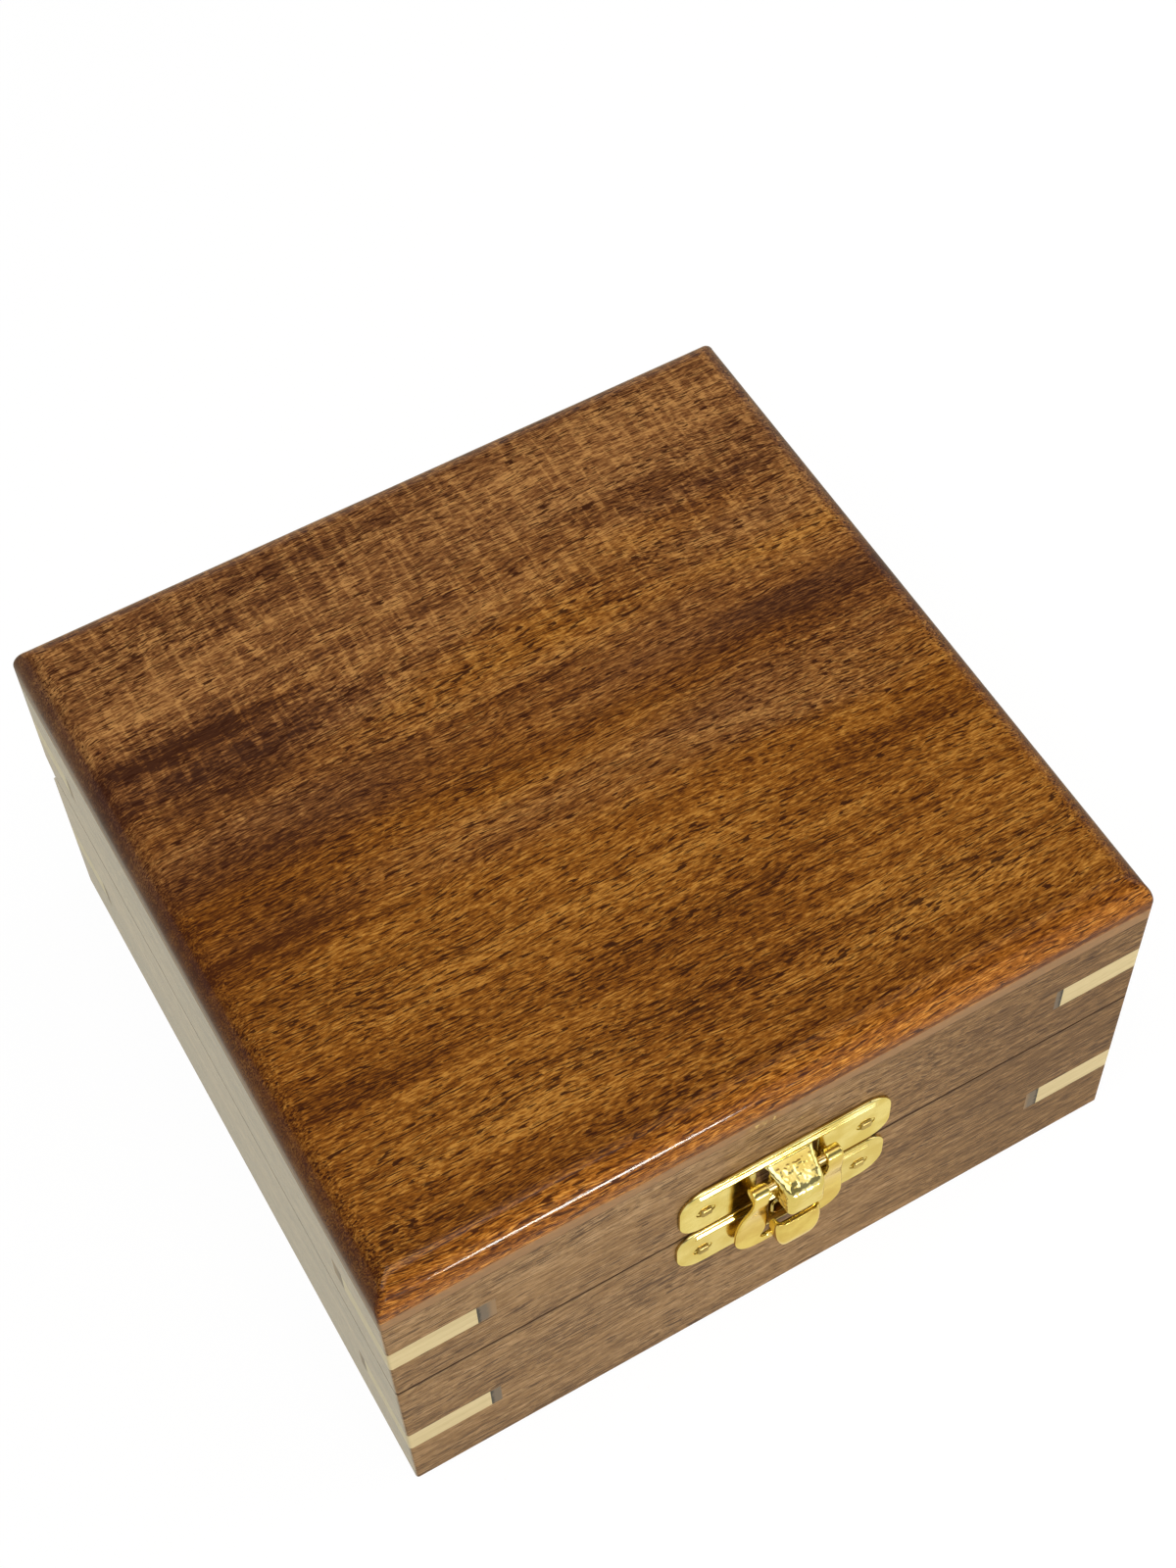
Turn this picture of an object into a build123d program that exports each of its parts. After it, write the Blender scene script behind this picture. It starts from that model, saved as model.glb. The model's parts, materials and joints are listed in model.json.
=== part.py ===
from build123d import *

import os
from math import atan, degrees, radians, tan

# Wooden box with a hinged lid and a swinging brass latch, made to hold a
# round pocket instrument. Millimetres. X runs along the front from left to
# right, the front faces -Y and +Z is up. The origin is the centre of the
# underside, where the box stands.

# Outside of the box
box_width = 127.0
box_depth = 125.0
base_height = 35.75
seam_gap = 0.3
lid_frame_height = 23.85
top_thickness = 9.3
wall = 9.0
corner_ease = 0.5
top_round = 5.0

# Bottom panel, let into a rebate under the four walls
panel_thickness = 5.0
panel_lap = 5.0
panel_clearance = 0.1

# Keys let into a slot across each mitred corner, with filler behind them
key_thickness = 5.4
key_reach = 14.0
base_key_height = 12.9
lid_key_height = 9.4
base_filler = {"front_left": 1.8, "front_right": 2.3, "back_right": 1.8, "back_left": 1.8}
lid_filler = {"front_left": 3.0, "front_right": 1.2, "back_right": 1.6, "back_left": 1.8}

# Lining: a flocked tray in the base and a pad under the top
lining_clearance = 0.3
lining_corner = 1.5
tray_drop = 1.6
well_diameter = 76.0
well_floor = 4.5
tray_rim = 2.2
channel_width = 38.0
channel_corner = 6.0
scoop_diameter = 24.0
scoop_depth = 15.0
well_lip_round = 1.2
pad_thickness = 9.0
pad_edge_round = 2.5

# Butt hinges in a groove along the back
hinge_from_side = 30.5
hinge_length = 25.0
hinge_inset = 3.0
groove_angle = 50.0
groove_relief = 0.25
leaf_thickness = 1.0
leaf_corner = 0.8
barrel_radius = 1.7
barrel_clearance = 0.3
knuckles = 5
knuckle_gap = 0.2
hinge_pin_radius = 0.75
pin_running = 0.05
pin_head_radius = 1.15
pin_head_length = 0.5
screw_spacing = 15.0
screw_head_radius = 1.5
screw_shank_radius = 0.8
screw_length = 6.5
screw_slot_width = 0.5
screw_slot_depth = 0.35
screw_clearance = 0.02

# Latch plates, measured up and down from the seam
latch_offset = 1.1
base_plate_shift = -0.45
plate_length = 36.2
plate_thickness = 0.7
plate_edge_round = 0.25
lid_plate_bottom = 1.5
lid_plate_height = 12.1
lid_plate_top_corner = 4.6
lid_plate_foot_corner = 3.8
base_plate_bottom = -10.5
base_plate_height = 10.9
base_plate_top_corner = 3.6
base_plate_foot_corner = 4.4
bead_radius = 0.6
bead_rise = 0.4
bead_drop = 1.35
bead_end = 3.0
nail_spacing = 27.4
nail_recess_length = 3.2
nail_recess_height = 2.3
nail_recess_depth = 0.4
nail_slot_length = 2.2
nail_slot_height = 1.4
nail_head = 1.9
nail_head_height = 0.75
nail_head_round = 0.35
nail_shank_radius = 0.6
nail_length = 6.0
lid_nail_height = 7.0
base_nail_height = -6.0

# Hood pressed out of the lid plate
hood_root_width = 8.8
hood_front_width = 5.8
hood_reach = 6.6
hood_top = 11.8
hood_fall = 1.6
hood_foot = 4.3
hood_sheet = 0.6
hood_shoulder = 1.9
hood_edge_round = 1.0
cheek_back = 1.75
cheek_foot = 6.5
window_margin = 0.8
window_foot = 5.1

# Swinging lever and its pin
pivot_reach = 3.0
pivot_height = 9.5
latch_pin_radius = 0.65
latch_pin_end = 0.15
curl_radius = 1.25
arm_inside = 4.8
arm_width = 2.8
lever_sheet = 0.8
lever_reach = 2.25
lever_foot = -11.7
lever_strip = 1.9
lever_middle = 0.6
lever_middle_reach = 2.85
lobe_width = 18.8
lobe_height = -7.1
lobe_foot_width = 8.8
lever_round = 0.25
notch_radius = 0.95
notch_spread = 8.0
notch_height = -9.0
notch_gap = 0.3
lip_foot = -12.8
lip_heel_reach = 3.1
lip_heel_width = 3.2
lip_bow_height = -10.6
lip_bow_reach = 4.7
lip_bow_width = 5.4
lip_belly_height = -7.3
lip_reach = 5.3
lip_width = 7.2
lip_rim = -2.0
lip_rim_reach = 5.1
lip_flare = 0.3
lip_flange_back = 2.8
lip_flange_drop = 0.9
lip_round = 1.0

# Keeper pressed out of the base plate, behind the lever
keeper_width = 4.6
keeper_height = 4.2
keeper_centre = -4.3
keeper_rise = 0.5
keeper_corner = 1.2
keeper_round = 0.35

# Worked out from the sizes above
seam_height = base_height + seam_gap / 2
lid_foot = base_height + seam_gap
frame_top = lid_foot + lid_frame_height
inner_width = box_width - 2 * wall
inner_depth = box_depth - 2 * wall
lining_width = inner_width - 2 * lining_clearance
lining_depth = inner_depth - 2 * lining_clearance
channel_length = lining_depth - 2 * tray_rim
scoop_spread = lining_width - 2 * tray_rim - scoop_diameter
hinge_line = box_depth / 2 - hinge_inset
leaf_width = wall - hinge_inset
leaf_edge = hinge_line - barrel_radius - barrel_clearance
knuckle_length = (hinge_length - (knuckles - 1) * knuckle_gap) / knuckles
front_face = -box_depth / 2
arm_outside = arm_inside + arm_width
lever_back = lever_reach - lever_sheet
slot_side = lip_width / 2 + lip_flare + notch_gap

sides = {"front": 0, "right": 90, "back": 180, "left": 270}
corners = {
    "front_left": (-1, -1),
    "front_right": (1, -1),
    "back_right": (1, 1),
    "back_left": (-1, 1),
}
hinge_spread = box_width / 2 - hinge_from_side
hinges = {"left": -hinge_spread, "right": hinge_spread}
plate_shift = {"base": base_plate_shift, "lid": 0}
nail_heights = {"base": base_nail_height, "lid": lid_nail_height}

# Planes of the latch: from the front, from the side with X outwards, and in plan
latch_seam = (latch_offset, front_face, seam_height)
latch_front = Plane(origin=latch_seam, x_dir=(1, 0, 0), z_dir=(0, -1, 0))
latch_side = Plane(origin=latch_seam, x_dir=(0, -1, 0), z_dir=(-1, 0, 0))
latch_plan = Plane(origin=latch_seam)

os.makedirs("parts", exist_ok=True)


def save(part, name):
    """Label a finished piece and write it under its own name."""
    part.label = name
    export_step(part, f"parts/{name}.step")


def side_outline(side, height):
    """Plan of one mitred wall, its outer corners eased, at the height given."""
    along, across = (box_width, box_depth) if side in ("front", "back") else (box_depth, box_width)
    half = along / 2
    face = across / 2
    with BuildSketch(Plane.XY.offset(height).rotated((0, 0, sides[side]))) as outline:
        with BuildLine():
            Polyline(
                (-half, -face),
                (half, -face),
                (half - wall, wall - face),
                (wall - half, wall - face),
                close=True,
            )
        make_face()
        RectangleRounded(along, across, corner_ease, mode=Mode.INTERSECT)
    return outline.sketch


def corner_point(corner, along, across):
    """Point inside a corner, stepped back from it along both faces."""
    x_sign, y_sign = corners[corner]
    return (x_sign * (box_width / 2 - along), y_sign * (box_depth / 2 - across))


def corner_triangle(corner, reach, height):
    """Plan of a slot or key across a corner, reaching as far along both faces."""
    with BuildSketch(Plane.XY.offset(height)) as triangle:
        with BuildLine():
            Polyline(
                corner_point(corner, 0, 0),
                corner_point(corner, reach, 0),
                corner_point(corner, 0, reach),
                close=True,
            )
        make_face()
        RectangleRounded(box_width, box_depth, corner_ease, mode=Mode.INTERSECT)
    return triangle.sketch


def filler_strip(corner, reach, height):
    """Plan of the filler between the back of a key and the end of its slot."""
    with BuildSketch(Plane.XY.offset(height)) as strip:
        with BuildLine():
            Polyline(
                corner_point(corner, key_reach, 0),
                corner_point(corner, key_reach + reach, 0),
                corner_point(corner, 0, key_reach + reach),
                corner_point(corner, 0, key_reach),
                close=True,
            )
        make_face()
    return strip.sketch


def back_groove():
    """Section of the V groove behind the hinges, whose sides stop the lid."""
    apex = hinge_line - groove_relief
    mouth = box_depth / 2 + wall
    rise = (mouth - apex) * tan(radians(groove_angle))
    with BuildSketch(Plane.YZ.offset(-box_width / 2)) as groove:
        with BuildLine():
            Polyline(
                (apex, seam_height),
                (mouth, seam_height + rise),
                (mouth, seam_height - rise),
                close=True,
            )
        make_face()
    return groove.sketch


def round_section(x, radius):
    """Circle about the hinge line, at the place along it that x gives."""
    with BuildSketch(Plane.YZ.offset(x)) as section:
        with Locations((hinge_line, seam_height)):
            Circle(radius)
    return section.sketch


def leaf_pocket(centre, height):
    """Plan of the pocket in the edge of a back wall that one leaf lies in."""
    with BuildSketch(Plane.XY.offset(height)) as pocket:
        with Locations((centre, hinge_line - leaf_width / 2)):
            Rectangle(hinge_length, leaf_width)
    return pocket.sketch


def screw_places(centre):
    """Where the two screws of one leaf stand."""
    middle = (hinge_line - leaf_width + leaf_edge) / 2
    return [(centre - screw_spacing / 2, middle), (centre + screw_spacing / 2, middle)]


def screw_outline(radius, height):
    """Circles of the four screws of one level, at the height given."""
    with BuildSketch(Plane.XY.offset(height)) as outline:
        for centre in hinges.values():
            with Locations(*screw_places(centre)):
                Circle(radius)
    return outline.sketch


def nail_places(level):
    """Places of the two nails of a latch plate, seen from the front."""
    return [(plate_shift[level] + side * nail_spacing / 2, nail_heights[level]) for side in (-1, 1)]


def nail_outline(level, radius, reach):
    """Circles of the two nails of a latch plate, seen from the front."""
    with BuildSketch(latch_front.offset(reach)) as outline:
        with Locations(*nail_places(level)):
            Circle(radius)
    return outline.sketch


# Walls of the base and of the lid, mitred and slotted for their keys
levels = {
    "base": (0, base_height, base_key_height, base_filler, -1, base_height),
    "lid": (lid_foot, lid_frame_height, lid_foot + lid_key_height, lid_filler, 1, lid_foot),
}
for level, (foot, height, key_foot, fillers, inwards, seam_edge) in levels.items():
    for side in sides:
        with BuildPart() as frame_wall:
            extrude(side_outline(side, foot), amount=height)
            for corner, reach in fillers.items():
                if side in corner.split("_"):
                    extrude(
                        corner_triangle(corner, key_reach + reach, key_foot),
                        amount=key_thickness,
                        mode=Mode.SUBTRACT,
                    )
            if level == "base":
                with BuildSketch(Plane.XY) as rebate:
                    Rectangle(inner_width + 2 * panel_lap, inner_depth + 2 * panel_lap)
                extrude(amount=panel_thickness, mode=Mode.SUBTRACT)
            if side != "front":
                extrude(back_groove(), amount=box_width, mode=Mode.SUBTRACT)
            if side == "back":
                for centre in hinges.values():
                    extrude(
                        leaf_pocket(centre, seam_edge),
                        amount=inwards * leaf_thickness,
                        mode=Mode.SUBTRACT,
                    )
                    barrel_half = hinge_length / 2 + pin_head_length + barrel_clearance
                    extrude(
                        round_section(centre - barrel_half, barrel_radius + barrel_clearance),
                        amount=2 * barrel_half,
                        mode=Mode.SUBTRACT,
                    )
                extrude(
                    screw_outline(screw_shank_radius + screw_clearance, seam_edge),
                    amount=inwards * screw_length,
                    mode=Mode.SUBTRACT,
                )
            if side == "front":
                extrude(
                    nail_outline(level, nail_shank_radius, 0),
                    amount=-nail_length,
                    mode=Mode.SUBTRACT,
                )
        save(frame_wall.part, f"{level}_{side}")

    for corner in corners:
        with BuildPart() as corner_key:
            extrude(corner_triangle(corner, key_reach, key_foot), amount=key_thickness)
        save(corner_key.part, f"{level}_key_{corner}")

    with BuildPart() as key_fillers:
        for corner, reach in fillers.items():
            extrude(filler_strip(corner, reach, key_foot), amount=key_thickness)
    save(key_fillers.part, f"{level}_key_fillers")

# Bottom panel, flush with the underside of the walls
with BuildPart() as base_bottom:
    with BuildSketch(Plane.XY):
        Rectangle(
            inner_width + 2 * (panel_lap - panel_clearance),
            inner_depth + 2 * (panel_lap - panel_clearance),
        )
    extrude(amount=panel_thickness)
save(base_bottom.part, "base_bottom")

# Top board, glued on the lid frame, rounded over along all four upper edges
with BuildPart() as lid_top:
    with BuildSketch(Plane.XY.offset(frame_top)):
        RectangleRounded(box_width, box_depth, corner_ease)
    extrude(amount=top_thickness)
    fillet(lid_top.faces().sort_by(Axis.Z)[-1].edges(), radius=top_round)
save(lid_top.part, "lid_top")

# Tray with a round well, a channel through it and two finger scoops
tray_top = base_height - tray_drop
with BuildPart() as tray_insert:
    with BuildSketch(Plane.XY.offset(panel_thickness)):
        RectangleRounded(lining_width, lining_depth, lining_corner)
    extrude(amount=tray_top - panel_thickness)
    with BuildSketch(Plane.XY.offset(panel_thickness + well_floor)):
        Circle(well_diameter / 2)
        RectangleRounded(channel_width, channel_length, channel_corner)
    extrude(amount=base_height, mode=Mode.SUBTRACT)
    with BuildSketch(Plane.XY.offset(tray_top - scoop_depth)):
        with Locations((-scoop_spread / 2, 0), (scoop_spread / 2, 0)):
            Circle(scoop_diameter / 2)
    extrude(amount=base_height, mode=Mode.SUBTRACT)
    fillet(
        tray_insert.faces().sort_by(Axis.Z)[-1].inner_wires().edges(),
        radius=well_lip_round,
    )
save(tray_insert.part, "tray_insert")

# Padded lining under the top board
with BuildPart() as lid_pad:
    with BuildSketch(Plane.XY.offset(frame_top - pad_thickness)):
        RectangleRounded(lining_width, lining_depth, lining_corner)
    extrude(amount=pad_thickness)
    fillet(lid_pad.faces().sort_by(Axis.Z)[0].edges(), radius=pad_edge_round)
save(lid_pad.part, "lid_pad")


def knuckle_starts(centre, first):
    """Where every second knuckle of one hinge starts along the hinge line."""
    pitch = knuckle_length + knuckle_gap
    return [centre - hinge_length / 2 + index * pitch for index in range(first, knuckles, 2)]


# Hinges: each leaf lies in its pocket, and the base leaf holds the pin
leaves = {"base": (-1, 0, 0), "lid": (1, 1, pin_running)}
for place, centre in hinges.items():
    for level, (inwards, first, play) in leaves.items():
        near = seam_height + inwards * seam_gap / 2
        with BuildPart() as leaf:
            with BuildSketch(Plane.XY.offset(near)):
                with Locations((centre, (hinge_line - leaf_width + leaf_edge) / 2)):
                    RectangleRounded(hinge_length, leaf_edge - hinge_line + leaf_width, leaf_corner)
                for start in knuckle_starts(centre, first):
                    with Locations((start + knuckle_length / 2, hinge_line - leaf_width / 4)):
                        Rectangle(knuckle_length, leaf_width / 2)
            extrude(amount=inwards * leaf_thickness)
            for start in knuckle_starts(centre, first):
                extrude(round_section(start, barrel_radius), amount=knuckle_length)
            extrude(
                round_section(centre - hinge_length, hinge_pin_radius + play),
                amount=2 * hinge_length,
                mode=Mode.SUBTRACT,
            )
            with BuildSketch(Plane.XY.offset(near)):
                with Locations(*screw_places(centre)):
                    Circle(screw_head_radius)
            extrude(
                amount=inwards * leaf_thickness,
                taper=degrees(atan((screw_head_radius - screw_shank_radius) / leaf_thickness)),
                mode=Mode.SUBTRACT,
            )
        save(leaf.part, f"hinge_{place}_{level}_leaf")

    with BuildPart() as hinge_pin:
        extrude(round_section(centre - hinge_length / 2, hinge_pin_radius), amount=hinge_length)
        for end, way in ((-1, -1), (1, 1)):
            extrude(
                round_section(centre + end * hinge_length / 2, pin_head_radius),
                amount=way * pin_head_length,
            )
        fillet(
            hinge_pin.faces().filter_by(Axis.X).sort_by(Axis.X)[0].edges()
            + hinge_pin.faces().filter_by(Axis.X).sort_by(Axis.X)[-1].edges(),
            radius=pin_head_length / 2,
        )
    save(hinge_pin.part, f"hinge_{place}_pin")

# Countersunk screws of the hinge leaves
for level, (inwards, first, play) in leaves.items():
    near = seam_height + inwards * seam_gap / 2
    with BuildPart() as hinge_screws:
        extrude(
            screw_outline(screw_head_radius, near),
            amount=inwards * leaf_thickness,
            taper=degrees(atan((screw_head_radius - screw_shank_radius) / leaf_thickness)),
        )
        extrude(screw_outline(screw_shank_radius, near), amount=inwards * screw_length)
        with BuildSketch(Plane.XY.offset(near)):
            for centre in hinges.values():
                with Locations(*screw_places(centre)):
                    Rectangle(2 * screw_head_radius, screw_slot_width)
        extrude(amount=inwards * screw_slot_depth, mode=Mode.SUBTRACT)
    save(hinge_screws.part, f"hinge_{level}_screws")


def plate_outline(level, foot, height, top_corner, foot_corner):
    """Outline of a latch plate seen from the front, with rounded ends."""
    with BuildSketch(latch_front) as outline:
        with Locations((plate_shift[level], foot + height / 2)):
            Rectangle(plate_length, height)
        fillet(outline.vertices().group_by(Axis.Y)[-1], radius=top_corner)
        fillet(outline.vertices().group_by(Axis.Y)[0], radius=foot_corner)
    return outline.sketch


def nail_slots(level, slot_length, slot_height):
    """Outline of the slots, or of the recesses round them, for the nails of a plate."""
    with BuildSketch(latch_front.offset(plate_thickness)) as slots:
        with Locations(*nail_places(level)):
            SlotOverall(slot_length, slot_height)
    return slots.sketch


def pierce_plate(level):
    """Cut the recess and the slot of both nails into the plate being made."""
    extrude(
        nail_slots(level, nail_recess_length, nail_recess_height),
        amount=-nail_recess_depth,
        mode=Mode.SUBTRACT,
    )
    extrude(
        nail_slots(level, nail_slot_length, nail_slot_height),
        amount=-plate_thickness,
        mode=Mode.SUBTRACT,
    )


def bead_section(level, height):
    """Section of the bead raised along a plate, cut level with its front."""
    with BuildSketch(latch_side.offset(-plate_shift[level])) as section:
        with Locations((plate_thickness + bead_rise - bead_radius, height)):
            Circle(bead_radius)
        with Locations((plate_thickness, height)):
            Rectangle(
                2 * bead_radius,
                2 * bead_radius,
                align=(Align.MIN, Align.CENTER),
                mode=Mode.INTERSECT,
            )
    return section.sketch


def hood_block(inset, back, foot):
    """Block with the hood's falling top, rounded brow and taper, set in from its outside."""
    top = hood_top - inset
    reach = hood_reach - inset
    shoulder = hood_shoulder - inset
    root_half = hood_root_width / 2 - inset
    front_half = hood_front_width / 2 - inset
    with BuildPart() as block:
        with BuildSketch(latch_side) as side:
            with BuildLine():
                Polyline(
                    (back, top),
                    (reach, top - hood_fall),
                    (reach, foot),
                    (back, foot),
                    close=True,
                )
            make_face()
            brow = side.vertices().sort_by(Axis.X)[-2:].sort_by(Axis.Y)[-1]
            fillet(brow, radius=shoulder)
        extrude(amount=hood_root_width, both=True)
        with BuildSketch(latch_plan):
            with BuildLine():
                Polyline(
                    (-root_half, 0),
                    (root_half, 0),
                    (front_half, -hood_reach),
                    (-front_half, -hood_reach),
                    close=True,
                )
            make_face()
        extrude(amount=hood_top, mode=Mode.INTERSECT)
    return block.part


# Hood that the lever hangs under, open below and towards the wood
with BuildPart() as hood:
    add(hood_block(0, plate_thickness, hood_foot))
    fillet(hood.edges().filter_by(Axis.Z).group_by(Axis.Y)[0], radius=hood_edge_round)
    add(hood_block(hood_sheet, 0, hood_foot - hood_sheet), mode=Mode.SUBTRACT)
    with BuildSketch(latch_side):
        with BuildLine():
            Polyline(
                (0, hood_top - hood_sheet),
                (cheek_back, hood_top - hood_sheet),
                (cheek_back, cheek_foot),
                (hood_reach - hood_sheet, hood_foot),
                (hood_reach - hood_sheet, hood_foot - hood_sheet),
                (0, hood_foot - hood_sheet),
                close=True,
            )
        make_face()
    extrude(amount=hood_root_width, both=True, mode=Mode.SUBTRACT)
    with BuildSketch(latch_side):
        with Locations((pivot_reach, pivot_height)):
            Circle(latch_pin_radius)
    extrude(amount=hood_root_width, both=True, mode=Mode.SUBTRACT)

# Lid plate of the latch, pierced where its hood was pressed out
with BuildPart() as latch_lid_plate:
    extrude(
        plate_outline(
            "lid",
            lid_plate_bottom,
            lid_plate_height,
            lid_plate_top_corner,
            lid_plate_foot_corner,
        ),
        amount=plate_thickness,
    )
    fillet(latch_lid_plate.faces().sort_by(Axis.Y)[0].edges(), radius=plate_edge_round)
    extrude(
        bead_section("lid", lid_plate_bottom + lid_plate_height - bead_drop),
        amount=plate_length / 2 - bead_end,
        both=True,
    )
    pierce_plate("lid")
    with BuildSketch(latch_front):
        with Locations((0, (window_foot + hood_top - hood_sheet) / 2)):
            Rectangle(hood_root_width + 2 * window_margin, hood_top - hood_sheet - window_foot)
    extrude(amount=plate_thickness, mode=Mode.SUBTRACT)
    add(hood.part)
save(latch_lid_plate.part, "latch_lid_plate")

# Base plate of the latch, with its keeper
with BuildPart() as latch_base_plate:
    extrude(
        plate_outline(
            "base",
            base_plate_bottom,
            base_plate_height,
            base_plate_top_corner,
            base_plate_foot_corner,
        ),
        amount=plate_thickness,
    )
    fillet(latch_base_plate.faces().sort_by(Axis.Y)[0].edges(), radius=plate_edge_round)
    extrude(
        bead_section("base", base_plate_bottom + base_plate_height - bead_drop),
        amount=plate_length / 2 - bead_end,
        both=True,
    )
    pierce_plate("base")
    with BuildSketch(latch_front.offset(plate_thickness)):
        with Locations((0, keeper_centre)):
            RectangleRounded(keeper_width, keeper_height, keeper_corner)
    extrude(amount=keeper_rise)
    fillet(latch_base_plate.faces().sort_by(Axis.Y)[0].edges(), radius=keeper_round)
save(latch_base_plate.part, "latch_base_plate")

# Pin of the latch, held in the cheeks of the hood
with BuildPart() as latch_pin:
    with BuildSketch(latch_side):
        with Locations((pivot_reach, pivot_height)):
            Circle(latch_pin_radius)
    extrude(amount=arm_outside - latch_pin_end, both=True)
save(latch_pin.part, "latch_pin")

def lip_section(height, reach, width, inset):
    """Level section of the lever's lip, set in from its outside and open behind."""
    with BuildSketch(latch_plan.offset(height)) as section:
        with BuildLine():
            Polyline(
                (-width / 2 - lip_flare + inset, -lever_back),
                (-width / 2 + inset, inset - reach),
                (width / 2 - inset, inset - reach),
                (width / 2 + lip_flare - inset, -lever_back),
                close=True,
            )
        make_face()
        fillet(section.vertices().group_by(Axis.Y)[0], radius=lip_round - inset)
    return section.sketch


def lip_sections(inset):
    """Sections of the lip from its heel to its rim, set in from its outside."""
    return [
        lip_section(lip_foot + inset, lip_heel_reach, lip_heel_width, inset),
        lip_section(lip_bow_height + inset / 2, lip_bow_reach, lip_bow_width, inset),
        lip_section(lip_belly_height, lip_reach, lip_width, inset),
        lip_section(lip_rim, lip_rim_reach, lip_width, inset),
    ]


# Finger lip of the lever: a spoon bent out and up from its foot
with BuildPart() as lip:
    loft(lip_sections(0))
    loft(lip_sections(lever_sheet), mode=Mode.SUBTRACT)
    with BuildSketch(latch_side):
        with BuildLine():
            Polyline(
                (0, lever_foot + lever_strip),
                (lever_reach, lever_foot + lever_strip),
                (lip_flange_back, lip_rim - lip_flange_drop),
                (lip_rim_reach, lip_rim),
                (0, lip_rim),
                close=True,
            )
        make_face()
    extrude(amount=lobe_width, both=True, mode=Mode.SUBTRACT)


def on_lever_outside(edge):
    """Whether an edge of the lever's front runs along its outer side or its foot."""
    middle = edge @ 0.5
    beside = abs(middle.X - latch_offset) > arm_outside
    return beside or abs(middle.Z - seam_height - lever_foot) < lever_round


# Lever: a bent sheet whose two arms curl round the pin beside the hood
with BuildPart() as latch_lever:
    with BuildSketch(latch_side):
        with BuildLine():
            for inset in (0, lever_sheet):
                Spline(
                    (pivot_reach + curl_radius - inset, pivot_height),
                    (lever_middle_reach - inset, lever_middle),
                    (lever_reach - inset, lever_foot),
                    tangents=((0, -1), (0, -1)),
                )
            Line(
                (pivot_reach + curl_radius, pivot_height),
                (pivot_reach + curl_radius - lever_sheet, pivot_height),
            )
            Line((lever_reach, lever_foot), (lever_reach - lever_sheet, lever_foot))
        make_face()
    extrude(amount=lobe_width, both=True)
    with BuildSketch(latch_front):
        with BuildLine():
            Spline(
                (arm_outside, pivot_height),
                (lobe_width / 2, lobe_height),
                tangents=((0, -1), (0, -1)),
            )
            Spline(
                (lobe_width / 2, lobe_height),
                (lobe_foot_width / 2, lever_foot),
                tangents=((0, -1), (-1, 0)),
            )
            Polyline(
                (lobe_foot_width / 2, lever_foot),
                (0, lever_foot),
                (0, lever_foot + lever_strip),
                (notch_spread / 2, notch_height - notch_radius),
            )
            RadiusArc(
                (notch_spread / 2, notch_height - notch_radius),
                (notch_spread / 2 + notch_radius, notch_height),
                -notch_radius,
            )
            Spline(
                (notch_spread / 2 + notch_radius, notch_height),
                (slot_side, notch_height + 2 * notch_radius),
                (slot_side, lever_middle),
                (arm_inside, pivot_height),
            )
            Line((arm_inside, pivot_height), (arm_outside, pivot_height))
        make_face()
        mirror(about=Plane.YZ)
    extrude(amount=2 * hood_reach, mode=Mode.INTERSECT)
    lever_front = latch_lever.faces().sort_by(SortBy.AREA)[-4:].sort_by(Axis.Y)[:2]
    fillet(lever_front.edges().filter_by(on_lever_outside), radius=lever_round)
    for arm_start in (arm_inside, -arm_outside):
        with BuildSketch(latch_side.offset(arm_start)):
            with Locations((pivot_reach, pivot_height)):
                Circle(curl_radius)
        extrude(amount=arm_width)
    add(lip.part)
    with BuildSketch(latch_side):
        with Locations((pivot_reach, pivot_height)):
            Circle(latch_pin_radius + pin_running)
    extrude(amount=lobe_width, both=True, mode=Mode.SUBTRACT)
save(latch_lever.part, "latch_lever")

# Nails of the latch plates
for level in levels:
    with BuildPart() as latch_nails:
        head_seat = plate_thickness - nail_recess_depth
        with BuildSketch(latch_front.offset(head_seat)):
            with Locations(*nail_places(level)):
                RectangleRounded(nail_head, nail_head, nail_head_round)
        extrude(amount=nail_head_height)
        fillet(
            latch_nails.faces().group_by(Axis.Y)[0].edges(),
            radius=nail_head_round,
        )
        extrude(
            nail_outline(level, nail_shank_radius, head_seat),
            amount=-head_seat - nail_length,
        )
    save(latch_nails.part, f"latch_{level}_nails")
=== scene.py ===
"""Wooden box with keyed corners, a hinged lid and a swinging brass latch."""

import json
import logging
import math
from dataclasses import astuple, dataclass
from enum import Enum
from typing import Callable, Iterable, Optional, Union

import bmesh
import bpy
from mathutils import Matrix, Vector


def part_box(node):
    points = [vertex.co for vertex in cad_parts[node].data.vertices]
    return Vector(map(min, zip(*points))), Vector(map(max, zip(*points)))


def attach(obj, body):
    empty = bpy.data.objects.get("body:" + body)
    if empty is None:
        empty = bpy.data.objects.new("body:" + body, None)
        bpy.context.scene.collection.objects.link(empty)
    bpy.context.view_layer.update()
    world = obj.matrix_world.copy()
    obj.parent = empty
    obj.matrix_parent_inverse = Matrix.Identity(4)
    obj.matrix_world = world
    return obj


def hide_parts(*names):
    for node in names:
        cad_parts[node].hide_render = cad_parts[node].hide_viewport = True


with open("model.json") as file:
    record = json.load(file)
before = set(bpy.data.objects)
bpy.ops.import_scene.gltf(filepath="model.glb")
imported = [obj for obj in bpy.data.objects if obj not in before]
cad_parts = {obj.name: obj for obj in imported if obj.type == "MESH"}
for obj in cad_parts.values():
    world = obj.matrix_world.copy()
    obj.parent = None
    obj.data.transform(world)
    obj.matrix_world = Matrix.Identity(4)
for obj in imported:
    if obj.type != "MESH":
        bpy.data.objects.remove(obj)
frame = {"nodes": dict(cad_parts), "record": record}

LOG = logging.getLogger("box")
MM = 0.001
SIDES = ("front", "back", "left", "right")
CORNERS = ("front_left", "front_right", "back_right", "back_left")
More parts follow.
